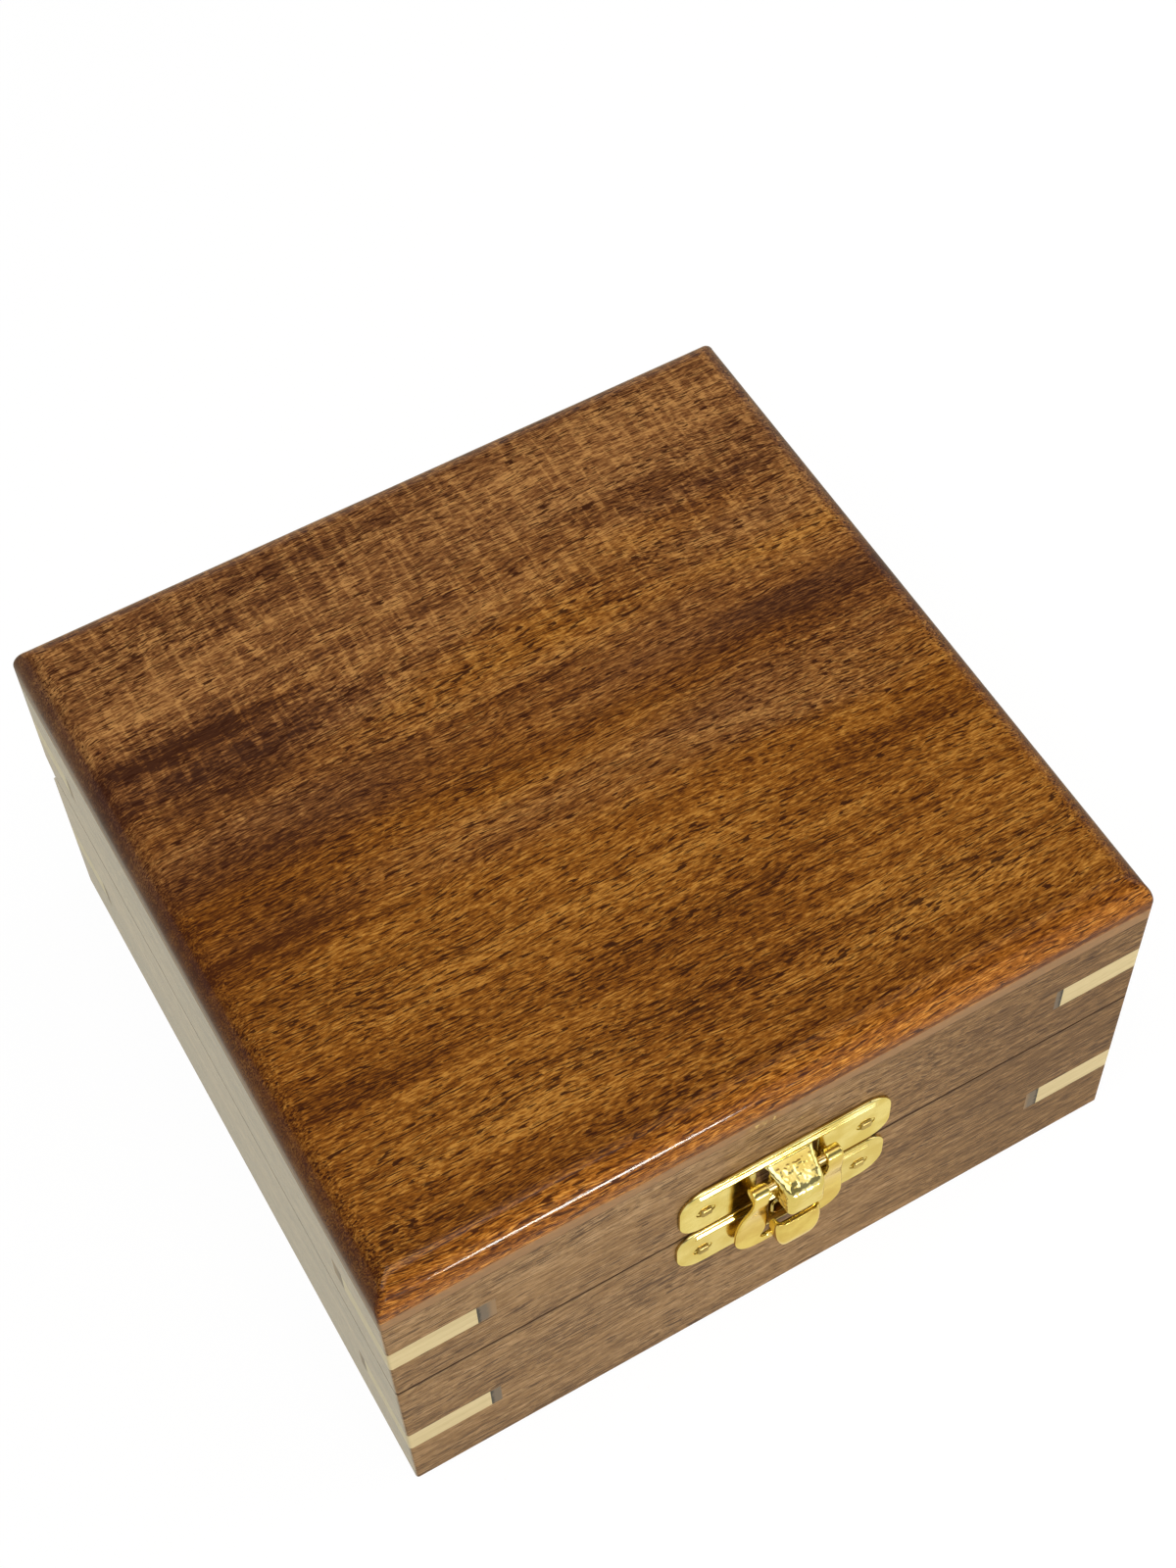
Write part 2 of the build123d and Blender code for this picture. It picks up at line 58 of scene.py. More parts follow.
MERGE_DISTANCE = 0.002 * MM
FLAT_ANGLE = math.radians(0.5)
SHARP_ANGLE = math.radians(32.0)
SHADING_WEIGHT = 80
EASE_SEGMENTS = 3
NOISE_MIDDLE = 0.5
ORIGIN = (0.0, 0.0, 0.0)
WHITE = (1.0, 1.0, 1.0)

Socket = bpy.types.NodeSocket
Colour = tuple[float, float, float]
Point = tuple[float, float, float]
Given = Union[Socket, float, tuple]


class Level(Enum):
    """The two halves that the box was sawn into."""

    BASE = "base"
    LID = "lid"


class Grain(Enum):
    """The way the grain of a board runs."""

    ALONG_X = (0, 1, 2)
    ALONG_Y = (1, 0, 2)


class Outline(Enum):
    """Outline of a lamp."""

    RECTANGLE = "RECTANGLE"
    ELLIPSE = "ELLIPSE"


@dataclass(frozen=True)
class Noise:
    """Noise that is stretched by its own amount along each axis.

    Attributes:
        stretch: Waves per millimetre along each axis.
        detail: Octaves.
        rough: Weight of the finer octaves.
        shift: Move, which gives another pattern.
        distort: Distortion.
    """

    stretch: tuple[float, float, float]
    detail: float = 2.0
    rough: float = 0.5
    shift: float = 0.0
    distort: float = 0.0


@dataclass
class Nodes:
    """Node tree, with short calls for the nodes that it uses."""

    tree: bpy.types.NodeTree

    def feed(self, socket: Socket, given: Given) -> None:
        """Link a socket to what is given, or set its value.

        Args:
            socket: The input.
            given: Another socket, a number, a vector or a colour.
        """
        if isinstance(given, Socket):
            self.tree.links.new(given, socket)
        elif isinstance(given, tuple) and len(given) == 3 and len(socket.default_value) == 4:
            socket.default_value = (*given, 1.0)
        else:
            socket.default_value = given

    def node(self, kind: str, *inputs: Given, **settings: str) -> bpy.types.Node:
        """Add a node.

        Args:
            kind: Its type.
            inputs: What goes into its first inputs.
            settings: Its settings.

        Returns:
            The node.
        """
        node = self.tree.nodes.new(kind)
        for name, value in settings.items():
            setattr(node, name, value)
        for socket, given in zip(node.inputs, inputs):
            self.feed(socket, given)
        return node

    def split(self, vector: Socket) -> tuple[Socket, ...]:
        """The three parts of a vector.

        Args:
            vector: The vector.

        Returns:
            The sockets of X, Y and Z.
        """
        return tuple(self.node("ShaderNodeSeparateXYZ", vector).outputs)

    def join(self, x: Given, y: Given, z: Given) -> Socket:
        """A vector of three parts.

        Args:
            x: First part.
            y: Second part.
            z: Third part.

        Returns:
            The vector socket.
        """
        return self.node("ShaderNodeCombineXYZ", x, y, z).outputs[0]

    def vector(
        self, operation: str, first: Given, second: Given = ORIGIN, third: Given = ORIGIN
    ) -> Socket:
        """Vector maths.

        Args:
            operation: Name of the operation.
            first: First vector.
            second: Second vector.
            third: Third vector.

        Returns:
            The result's socket.
        """
        return self.node("ShaderNodeVectorMath", first, second, third, operation=operation).outputs[0]

    def maths(self, operation: str, first: Given, second: Given = 0.0) -> Socket:
        """Maths on two numbers.

        Args:
            operation: Name of the operation.
            first: First number.
            second: Second number.

        Returns:
            The result's socket.
        """
        return self.node("ShaderNodeMath", first, second, operation=operation).outputs[0]

    def step(
        self, value: Given, low: float, high: float, below: float = 0.0, above: float = 1.0
    ) -> Socket:
        """Smooth step from one number to another.

        Args:
            value: The value.
            low: Where the step starts.
            high: Where it ends, which may lie below its start.
            below: The result before the step.
            above: The result after the step.

        Returns:
            The result's socket.
        """
        node = self.node("ShaderNodeMapRange", value, low, high, below, above)
        node.interpolation_type = "SMOOTHSTEP"
        return node.outputs["Result"]

    def seen(self) -> Socket:
        """Find the rays that show the thing itself.

        Returns:
            A socket that is 1 for a camera, glossy or transmission ray, else 0.
        """
        path = self.node("ShaderNodeLightPath").outputs
        looked = self.maths("MAXIMUM", path["Is Camera Ray"], path["Is Glossy Ray"])
        return self.maths("MAXIMUM", looked, path["Is Transmission Ray"])


class Graph(Nodes):
    """Node tree of one finish."""

    def __init__(self, name: str) -> None:
        """Start a material with a Principled shader wired to its output.

        Args:
            name: Name of the material.
        """
        self.material = bpy.data.materials.new(name)
        self.material.use_nodes = True
        super().__init__(self.material.node_tree)
        self.tree.nodes.clear()
        self.shader = self.node("ShaderNodeBsdfPrincipled")
        self.output = self.node("ShaderNodeOutputMaterial", self.shader.outputs["BSDF"])

    def surface(self, **values: Given) -> None:
        """Set inputs of the shader.

        Args:
            values: What goes in, under the input's name with underscores for spaces.
        """
        for name, given in values.items():
            self.feed(self.shader.inputs[name.replace("_", " ")], given)

    def place(self, grain: Grain = Grain.ALONG_X) -> Socket:
        """Object coordinates in millimetres, turned so that the grain runs along X.

        Args:
            grain: The way the grain runs on the piece.

        Returns:
            The vector socket.
        """
        found = self.node("ShaderNodeTexCoord").outputs["Object"]
        scaled = self.vector("MULTIPLY", found, (1.0 / MM,) * 3)
        if grain is Grain.ALONG_X:
            return scaled
        parts = self.split(scaled)
        return self.join(*(parts[axis] for axis in grain.value))

    def normal(self) -> Socket:
        """The way the surface faces, in the piece's own axes.

        Returns:
            The vector socket.
        """
        return self.node("ShaderNodeTexCoord").outputs["Normal"]

    def noise(self, place: Socket, noise: Noise, shift: float = 0.0) -> Socket:
        """Value about 0.5 that wanders over the surface.

        Args:
            place: Coordinates in millimetres.
            noise: The noise's settings.
            shift: Further move, which gives another pattern.

        Returns:
            The value's socket.
        """
        moved = self.vector("MULTIPLY_ADD", place, noise.stretch, (shift + noise.shift,) * 3)
        node = self.node("ShaderNodeTexNoise", moved, noise_dimensions="3D")
        node.inputs["Scale"].default_value = 1.0
        node.inputs["Detail"].default_value = noise.detail
        node.inputs["Roughness"].default_value = noise.rough
        node.inputs["Distortion"].default_value = noise.distort
        return node.outputs["Fac"]

    def spread(self, noise: Socket, share: float) -> Socket:
        """Move a noise to about 0 and scale it.

        Args:
            noise: The noise.
            share: The factor.

        Returns:
            The result's socket.
        """
        return self.maths("MULTIPLY", self.maths("SUBTRACT", noise, NOISE_MIDDLE), share)

    def ramp(self, value: Given, *stops: tuple[float, Colour]) -> Socket:
        """Colour ramp.

        Args:
            value: Where on the ramp.
            stops: Place and colour of each stop.

        Returns:
            The colour socket.
        """
        node = self.node("ShaderNodeValToRGB", value)
        elements = node.color_ramp.elements
        while len(elements) < len(stops):
            elements.new(0.5)
        for element, (place, colour) in zip(elements, stops):
            element.position = place
            element.color = (*colour, 1.0)
        return node.outputs["Color"]

    def mix(self, share: Given, first: Given, second: Given) -> Socket:
        """Mix of two colours.

        Args:
            share: Share of the second one.
            first: First colour.
            second: Second colour.

        Returns:
            The colour socket.
        """
        node = self.node("ShaderNodeMix", share, data_type="RGBA")
        colours = [socket for socket in node.inputs if socket.type == "RGBA"]
        self.feed(colours[0], first)
        self.feed(colours[1], second)
        return [socket for socket in node.outputs if socket.type == "RGBA"][0]

    def relief(
        self, height: Given, depth: float, strength: float, under: Optional[Given] = None
    ) -> Socket:
        """Relief worked into the normal.

        Args:
            height: Height from 0 to 1.
            depth: Height of 1 in millimetres.
            strength: Share of it that shows.
            under: Normal that it lies on.

        Returns:
            The normal socket.
        """
        node = self.node("ShaderNodeBump", strength, depth * MM)
        self.feed(node.inputs["Height"], height)
        if under is not None:
            self.feed(node.inputs["Normal"], under)
        return node.outputs["Normal"]


# Patterns in the wood. The board's grain runs along the first axis.
SWAY = Noise((0.011, 0.02, 0.02), 1.0, shift=3.0)
RIPPLE = Noise((0.05, 0.12, 0.12), shift=8.0)
BANDS = Noise((0.004, 0.06, 0.06))
STREAKS = Noise((0.02, 0.5, 0.5), 4.0, 0.6, 1.0)
TOP_FIBRES = Noise((0.6, 4.2, 4.2), 2.0, 0.6, 2.0)
SIDE_FIBRES = Noise((0.3, 4.2, 4.2), 2.0, 0.6, 2.0)
TOP_SLOTS = Noise((0.4, 3.8, 3.8), 0.0, shift=5.0)
SIDE_SLOTS = Noise((0.2, 3.8, 3.8), 0.0, shift=5.0)
CROWDS = Noise((0.01, 0.1, 0.1), shift=6.0)
HOLES = Noise((0.7, 5.0, 5.0), 1.0, 0.4, 7.0)
COOL_CLOUDS = Noise((0.012, 0.07, 0.07), shift=9.0)
FIGURE_RIPPLES = Noise((0.85, 0.14, 0.14), shift=11.0, distort=0.4)
FIGURE_LINES = Noise((0.12, 1.3, 1.3), shift=13.0)
END_RAGS = Noise((0.15, 0.9, 0.9), 3.0, 0.6, 12.0)
EDGE_WAVES = Noise((0.02, 0.02, 0.2), shift=15.0)
# Ragged edge of the painted shade along the seam.
SEAM_SHADE_RAGS = Noise((0.25, 0.25, 0.25), 3.0, 0.6, 19.0)
PALE_LINES = Noise((0.05, 0.9, 1.6), 4.0, 0.6, 21.0)
PALE_SPECKS = Noise((0.6, 3.2, 3.2), shift=22.0)
GRIME = Noise((0.8, 0.8, 1.6), 3.0, 0.6, 25.0)
# Patterns in the brass.
BRASS_CLOUDS = Noise((0.25, 0.25, 0.25), 3.0, shift=31.0)
BRASS_DENTS = Noise((0.35, 0.35, 0.35), shift=32.0)
BRASS_SCRATCHES = Noise((0.4, 6.0, 6.0), 2.0, 0.6, 33.0)
HAMMER_MARKS = Noise((0.95, 0.95, 0.95), 1.0, shift=34.0)
# Patterns in the textiles.
PILE = Noise((4.5, 4.5, 4.5), 2.0, 0.7, 41.0)
FLOCK_BRUSHING = Noise((0.05, 0.05, 0.05), 3.0, shift=42.0)
VELVET_BRUSHING = Noise((0.03, 0.03, 0.03), 3.0, shift=42.0)


@dataclass(frozen=True)
class Patch:
    """Soft stroke of darker or lighter tone on a board, in millimetres: mostly the wood's own tone,
    and painted shade where marked so.
    """

    x: float
    y: float
    half_length: float
    half_width: float
    lift: float
    outer: float = 1.25
    inner: float = 0.3

    def build(self, g: Graph, place: Socket) -> Socket:
        """Share of the tone that the stroke adds.

        Args:
            g: The node tree.
            place: Coordinates in millimetres, with the grain along X.

        Returns:
            The number socket.
        """
        reach = (1.0 / self.half_length, 1.0 / self.half_width, 0.0)
        back = (-self.x * reach[0], -self.y * reach[1], 0.0)
        moved = g.vector("MULTIPLY_ADD", place, reach, back)
        length = g.vector("LENGTH", moved).node.outputs["Value"]
        return g.maths("MULTIPLY", g.step(length, self.outer, self.inner), self.lift)


@dataclass(frozen=True)
class Figure:
    """Light ripples across the grain, crossed by lines along it, in the back half."""

    share: float
    start: float = 2.0
    full: float = 34.0
    low: float = 0.5
    high: float = 0.62
    line_share: float = 0.7

    def build(self, g: Graph, place: Socket) -> Socket:
        """Share of the tone that the figure adds.

        Args:
            g: The node tree.
            place: Coordinates in millimetres, with the grain along X.

        Returns:
            The number socket.
        """
        where = g.step(g.split(place)[1], self.start, self.full)
        across = g.step(g.noise(place, FIGURE_RIPPLES), self.low, self.high)
        along = g.step(g.noise(place, FIGURE_LINES), self.low, self.high)
        both = g.maths("ADD", across, g.maths("MULTIPLY", along, self.line_share))
        return g.maths("MULTIPLY", g.maths("MULTIPLY", both, where), self.share)


class Overlay:
    """Something that lies over the wood in places."""

    def build(self, g: Graph, place: Socket, colour: Socket) -> Socket:
        """Lay it over the wood.

        Args:
            g: The node tree.
            place: Coordinates in millimetres, with the grain along X.
            colour: Colour of the wood.

        Returns:
            The colour socket.
        """
        raise NotImplementedError


@dataclass(frozen=True)
class EndGrain(Overlay):
    """Darker tone where the surface cuts across a grain that runs along X."""

    tone: Colour
    uneven: float = 0.8
    low: float = 0.2
    high: float = 0.8
    share: float = 0.66

    def build(self, g: Graph, place: Socket, colour: Socket) -> Socket:
        """Lay the tone over the wood."""
        along = g.maths("ABSOLUTE", g.split(g.normal())[0])
        edge = g.maths("ADD", along, g.spread(g.noise(place, END_RAGS), self.uneven))
        share = g.maths("MULTIPLY", g.step(edge, self.low, self.high), self.share)
        return g.mix(share, colour, self.tone)


@dataclass(frozen=True)
class BoardEdge(Overlay):
    """Greyer tone on a board's upright edge, with a dark line above it."""

    tone: Colour
    line_tone: Colour
    height: float = 62.4
    softness: float = 0.3
    uneven: float = 3.0
    share: float = 0.85
    line_rise: float = 0.75
    line_outer: float = 0.95
    line_inner: float = 0.2
    line_share: float = 0.7
    line_start: float = -45.0
    line_full: float = 5.0

    def build(self, g: Graph, place: Socket, colour: Socket) -> Socket:
        """Lay the line and the tone over the wood."""
        x, _, z = g.split(place)
        height = g.maths("ADD", z, g.spread(g.noise(place, EDGE_WAVES), self.uneven))
        away = g.maths("ABSOLUTE", g.maths("SUBTRACT", height, self.height + self.line_rise))
        line = g.maths("MULTIPLY", g.step(away, self.line_outer, self.line_inner), self.line_share)
        line = g.maths("MULTIPLY", line, g.step(x, self.line_start, self.line_full))
        low = g.step(height, self.height + self.softness, self.height - self.softness)
        lined = g.mix(line, colour, self.line_tone)
        return g.mix(g.maths("MULTIPLY", low, self.share), lined, self.tone)


@dataclass(frozen=True)
class GlueLineAndSeamShade(Overlay):
    """Thin glue line under the top board, and painted shade in the gap of the seam between lid and
    base.
    """

    tone: Colour
    board_height: float = 59.9
    glue_start: float = 0.22
    glue_full: float = 0.08
    seam_height: float = 35.85
    uneven: float = 0.7
    outer: float = 0.52
    inner: float = 0.3
    share: float = 0.75

    def build(self, g: Graph, place: Socket, colour: Socket) -> Socket:
        """Lay the glue line and the painted seam shade over the wood."""
        z = g.split(place)[2]
        glue = g.step(z, self.board_height - self.glue_start, self.board_height - self.glue_full)
        # Painted shade in the seam's gap, ragged along its length.
        away = g.maths("ABSOLUTE", g.maths("SUBTRACT", z, self.seam_height))
        ragged = g.maths("ADD", away, g.spread(g.noise(place, SEAM_SHADE_RAGS), self.uneven))
        dark = g.maths("MAXIMUM", glue, g.step(ragged, self.outer, self.inner))
        return g.mix(g.maths("MULTIPLY", dark, self.share), colour, self.tone)


@dataclass(frozen=True)
class Tones:
    """Dark, middle and light tone of a wood."""

    dark: Colour
    middle: Colour
    light: Colour
    stops: tuple[float, float, float] = (0.12, 0.5, 0.95)

    def build(self, g: Graph, tone: Socket) -> Socket:
        """Colour for a tone from 0, dark, to 1, light.

        Args:
            g: The node tree.
            tone: The tone.

        Returns:
            The colour socket.
        """
        return g.ramp(tone, *zip(self.stops, (self.dark, self.middle, self.light)))


@dataclass(frozen=True)
class Finish:
    """Look of a material."""

    name: str

    def build(self) -> bpy.types.Material:
        """Make the material.

        Returns:
            The material.
        """
        g = Graph(self.name)
        self.paint(g)
        return g.material

    def paint(self, g: Graph) -> None:
        """Work the look out.

        Args:
            g: The node tree.
        """
        raise NotImplementedError


@dataclass(frozen=True)
class WalnutFinish(Finish):
    """Walnut with fine dark pores, in oil or under lacquer.

    A share says how much a pattern adds to the tone, or how dark it shows. Lengths are in
    millimetres, and shift moves every pattern of the wood at once.
    """

    grain: Grain
    warm: Tones
    cool: Tones
    pore: Colour
    fibres: Noise
    slots: Noise
    streak_share: float
    fibre_share: float
    hole_start: float
    hole_share: float
    slot_start: float
    pore_share: float
    roughness: float
    specular: float
    coat: float
    coat_roughness: float
    coat_relief: float = 0.0
    gloss_tint: Colour = WHITE
    shift: float = 0.0
    patches: tuple[Patch, ...] = ()
    figure: Optional[Figure] = None
    overlays: tuple[Overlay, ...] = ()
    sway: float = 8.0
    wobble: float = 2.2
    patch_wobble: float = 1.6
    band_share: float = 0.5
    crowd_share: float = 0.3
    hole_softness: float = 0.06
    slot_softness: float = 0.035
    cool_slope: float = 0.009
    cool_start: float = 0.35
    cool_full: float = 0.8
    fibre_height: float = 0.35
    pore_depth: float = 0.04
    relief: float = 0.3

    def paint(self, g: Graph) -> None:
        """Work out the wood and its lacquer."""
        straight = g.place(self.grain)
        wobble = g.spread(g.noise(straight, RIPPLE, self.shift), self.wobble)
        across = g.maths("ADD", g.spread(g.noise(straight, SWAY, self.shift), self.sway), wobble)
        grain = g.vector("ADD", straight, g.join(0.0, across, across))
        fibres = g.noise(grain, self.fibres, self.shift)
        pores = self.pores(g, grain)

        tone = self.tone(g, grain, fibres)
        offset = g.join(0.0, g.maths("MULTIPLY", wobble, self.patch_wobble), 0.0)
        ragged = g.vector("ADD", straight, offset)
        for patch in self.patches:
            tone = g.maths("ADD", tone, patch.build(g, ragged))
        if self.figure is not None:
            tone = g.maths("ADD", tone, self.figure.build(g, straight))
        wood = g.mix(self.coolness(g, grain), self.warm.build(g, tone), self.cool.build(g, tone))
        colour = g.mix(g.maths("MULTIPLY", pores, self.pore_share), wood, self.pore)
        for overlay in self.overlays:
            colour = overlay.build(g, straight, colour)

        height = g.maths("SUBTRACT", g.maths("MULTIPLY", fibres, self.fibre_height), pores)
        g.surface(
            Base_Color=colour,
            Roughness=self.roughness,
            Specular_IOR_Level=self.specular,
            Specular_Tint=self.gloss_tint,
            Coat_Weight=self.coat,
            Coat_Roughness=self.coat_roughness,
            Normal=g.relief(height, self.pore_depth, self.relief),
            Coat_Normal=g.relief(height, self.pore_depth, self.coat_relief),
        )

    def tone(self, g: Graph, grain: Socket, fibres: Socket) -> Socket:
        """Tone of bands, streaks and fibres together.

        Args:
            g: The node tree.
            grain: Coordinates that follow the grain.
            fibres: Noise of the fibres.

        Returns:
            The number socket.
        """
        bands = g.spread(g.noise(grain, BANDS, self.shift), self.band_share)
        streaks = g.spread(g.noise(grain, STREAKS, self.shift), self.streak_share)
        tone = g.maths("ADD", bands, streaks)
        tone = g.maths("ADD", tone, g.spread(fibres, self.fibre_share))
        return g.maths("ADD", tone, NOISE_MIDDLE)

    def pores(self, g: Graph, grain: Socket) -> Socket:
        """Short holes and long slots, thicker in some places than in others.

        Args:
            g: The node tree.
            grain: Coordinates that follow the grain.

        Returns:
            The number socket, 1 in a pore.
        """
        crowd = g.spread(g.noise(grain, CROWDS, self.shift), self.crowd_share)
        holes = g.maths("ADD", g.noise(grain, HOLES, self.shift), crowd)
        short = g.step(holes, self.hole_start, self.hole_start + self.hole_softness)
        slots = g.maths("ADD", g.noise(grain, self.slots, self.shift), crowd)
        long = g.step(slots, self.slot_start, self.slot_start + self.slot_softness)
        return g.maths("MAXIMUM", g.maths("MULTIPLY", short, self.hole_share), long)

    def coolness(self, g: Graph, grain: Socket) -> Socket:
        """Share of the purplish wood, which lies towards the back.

        Args:
            g: The node tree.
            grain: Coordinates that follow the grain.

        Returns:
            The number socket.
        """
        back = g.maths("MULTIPLY", g.split(grain)[1], self.cool_slope)
        where = g.maths("ADD", back, g.noise(grain, COOL_CLOUDS, self.shift))
        return g.step(where, self.cool_start, self.cool_full)


@dataclass(frozen=True)
class PaleWoodFinish(Finish):
    """Pale, close grained wood in satin."""

    light: Colour
    dark: Colour
    line_share: float = 0.7
    speck_share: float = 0.3
    dark_until: float = 0.3
    light_from: float = 0.62
    roughness: float = 0.4
    specular: float = 0.3
    coat: float = 0.2
    coat_roughness: float = 0.15
    speck_depth: float = 0.02
    relief: float = 0.25

    def paint(self, g: Graph) -> None:
        """Work out the wood."""
        place = g.place()
        lines = g.maths("MULTIPLY", g.noise(place, PALE_LINES), self.line_share)
        specks = g.noise(place, PALE_SPECKS)
        tone = g.maths("ADD", lines, g.maths("MULTIPLY", specks, self.speck_share))
        g.surface(
            Base_Color=g.ramp(tone, (self.dark_until, self.dark), (self.light_from, self.light)),
            Roughness=self.roughness,
            Specular_IOR_Level=self.specular,
            Coat_Weight=self.coat,
            Coat_Roughness=self.coat_roughness,
            Normal=g.relief(specks, self.speck_depth, self.relief),
        )


@dataclass(frozen=True)
class FillerFinish(Finish):
    """Filler that is black at the key's end and thins out over the wood.

    The ends say how far from the middle of the box the filler starts, in millimetres.
    """

    wood: Colour = (0.2, 0.116, 0.05)
    smudge: Colour = (0.105, 0.075, 0.05)
    black: Colour = (0.02, 0.014, 0.01)
    stops: tuple[float, float, float, float] = (0.22, 0.5, 0.8, 0.92)
    front_end: float = 46.4
    side_end: float = 45.4
    front_length: float = 3.1
    side_length: float = 6.2
    grime_share: float = 0.5
    turn: tuple[float, float] = (0.4, 0.6)
    roughness: float = 0.45
    specular: float = 0.1
    coat: float = 0.16
    coat_roughness: float = 0.15

    def paint(self, g: Graph) -> None:
        """Work out the filler."""
        place = g.place()
        x, y, _ = (g.maths("ABSOLUTE", part) for part in g.split(place))
        aside = g.step(g.maths("ABSOLUTE", g.split(g.normal())[0]), *self.turn)
        front = g.maths("DIVIDE", g.maths("SUBTRACT", x, self.front_end), self.front_length)
        side = g.maths("DIVIDE", g.maths("SUBTRACT", y, self.side_end), self.side_length)
        change = g.maths("MULTIPLY", g.maths("SUBTRACT", side, front), aside)
        grime = g.spread(g.noise(place, GRIME), self.grime_share)
        near_key = g.maths("ADD", g.maths("ADD", front, change), grime)
        colours = (self.wood, self.smudge, self.smudge, self.black)
        g.surface(
            Base_Color=g.ramp(near_key, *zip(self.stops, colours)),
            Roughness=self.roughness,
            Specular_IOR_Level=self.specular,
            Coat_Weight=self.coat,
            Coat_Roughness=self.coat_roughness,
        )


@dataclass(frozen=True)
class BrassFinish(Finish):
    """Pressed or drawn brass, more or less bright.

    Hammer marks lie on what stands out further to the front than hammered_from.
    """

    colour: Colour
    deep: Colour
    roughness: float
    dimple: float
    hammered: float = 0.0
    hammered_from: float = 64.0
    hammered_fade: float = 1.0
    rim: Colour = (1.0, 0.9, 0.66)
    cloud_share: float = 0.16
    scratch_share: float = 0.06
    deep_until: float = 0.35
    bright_from: float = 0.7
    least_roughness: float = 0.05
    scratch_depth: float = 0.001
    scratch_relief: float = 0.3

    def paint(self, g: Graph) -> None:
        """Work out the brass."""
        place = g.place()
        cloud = g.noise(place, BRASS_CLOUDS)
        scratches = g.noise(place, BRASS_SCRATCHES)
        uneven = g.spread(cloud, self.cloud_share)
        uneven = g.maths("ADD", uneven, g.spread(scratches, self.scratch_share))
        rough = g.maths("ADD", uneven, self.roughness)
        soft = g.relief(g.noise(place, BRASS_DENTS), self.dimple, 1.0)
        if self.hammered:
            out = g.maths("MULTIPLY", g.split(place)[1], -1.0)
            struck = g.step(out, self.hammered_from, self.hammered_from + self.hammered_fade)
            marks = g.maths("MULTIPLY", g.noise(place, HAMMER_MARKS), struck)
            soft = g.relief(marks, self.hammered, 1.0, soft)
        g.surface(
            Base_Color=g.mix(
                g.step(cloud, self.deep_until, self.bright_from), self.deep, self.colour
            ),
            Metallic=1.0,
            Roughness=g.maths("MAXIMUM", rough, self.least_roughness),
            Specular_Tint=self.rim,
            Normal=g.relief(scratches, self.scratch_depth, self.scratch_relief, soft),
        )


@dataclass(frozen=True)
class PileFinish(Finish):
    """Short textile pile, as on flock and velvet."""

    colour: Colour
    tip: Colour
    sheen: float
    brushing: Noise
    pile_share: float = 0.55
    brushed_share: float = 0.45
    deep_until: float = 0.3
    tip_from: float = 0.7
    roughness: float = 0.95
    specular: float = 0.15
    sheen_roughness: float = 0.45
    pile_depth: float = 0.15
    relief: float = 0.6

    def paint(self, g: Graph) -> None:
        """Work out the pile."""
        place = g.place()
        pile = g.noise(place, PILE)
        brushed = g.maths("MULTIPLY", g.noise(place, self.brushing), self.brushed_share)
        tone = g.maths("ADD", g.maths("MULTIPLY", pile, self.pile_share), brushed)
        g.surface(
            Base_Color=g.ramp(tone, (self.deep_until, self.colour), (self.tip_from, self.tip)),
            Roughness=self.roughness,
            Specular_IOR_Level=self.specular,
            Sheen_Weight=self.sheen,
            Sheen_Roughness=self.sheen_roughness,
            Sheen_Tint=self.tip,
            Normal=g.relief(pile, self.pile_depth, self.relief),
        )


SIDE_PORE = (0.05, 0.024, 0.013)
SIDE_WALNUT = dict(
    warm=Tones((0.094, 0.047, 0.018), (0.222, 0.126, 0.053), (0.385, 0.25, 0.13)),
    cool=Tones((0.086, 0.046, 0.023), (0.21, 0.123, 0.06), (0.365, 0.24, 0.137)),
    pore=SIDE_PORE,
    fibres=SIDE_FIBRES,
    slots=SIDE_SLOTS,
    streak_share=0.7,
    fibre_share=1.6,
    hole_start=0.56,
    hole_share=0.6,
    slot_start=0.635,
    pore_share=0.85,
    overlays=(GlueLineAndSeamShade(SIDE_PORE),),
)
# Painted shade: the front wall darkens towards its right end, where less light falls on it.
FRONT_PAINTED_SHADE = (Patch(64.0, -62.0, 50.0, 12.0, -0.24),)
TOP_PATCHES = (
    Patch(-20.0, 58.0, 50.0, 6.0, -0.1),
    Patch(-46.0, 43.0, 20.0, 9.0, 0.08),
    Patch(-46.0, 31.5, 24.0, 2.4, -0.2),
    Patch(-48.0, 26.0, 28.0, 9.5, -0.33),
    Patch(-51.0, 10.0, 18.0, 7.0, -0.06),
    # These two: a dark streak in the wood, deepened with painted shadow of the instrument that stood
    # on the lid.
    Patch(-54.0, -2.0, 26.0, 15.0, -0.2),
    Patch(-50.0, -5.0, 18.0, 5.0, -0.14),
    Patch(-50.0, -12.0, 18.0, 4.0, 0.06),
    Patch(-52.0, -31.0, 20.0, 5.0, -0.16),
    Patch(-36.0, -44.0, 30.0, 8.0, 0.08),
    Patch(45.0, 33.0, 18.0, 4.5, -0.2),
    Patch(46.0, 20.0, 16.0, 7.0, 0.08),
    Patch(50.0, 7.0, 30.0, 4.5, -0.15),
    Patch(45.0, -21.5, 24.0, 4.0, -0.2),
    Patch(47.0, -41.0, 34.0, 14.0, 0.12),
    Patch(6.0, -44.0, 20.0, 5.0, -0.08),
)
TOP_END_TONE = (0.05, 0.01, 0.002)
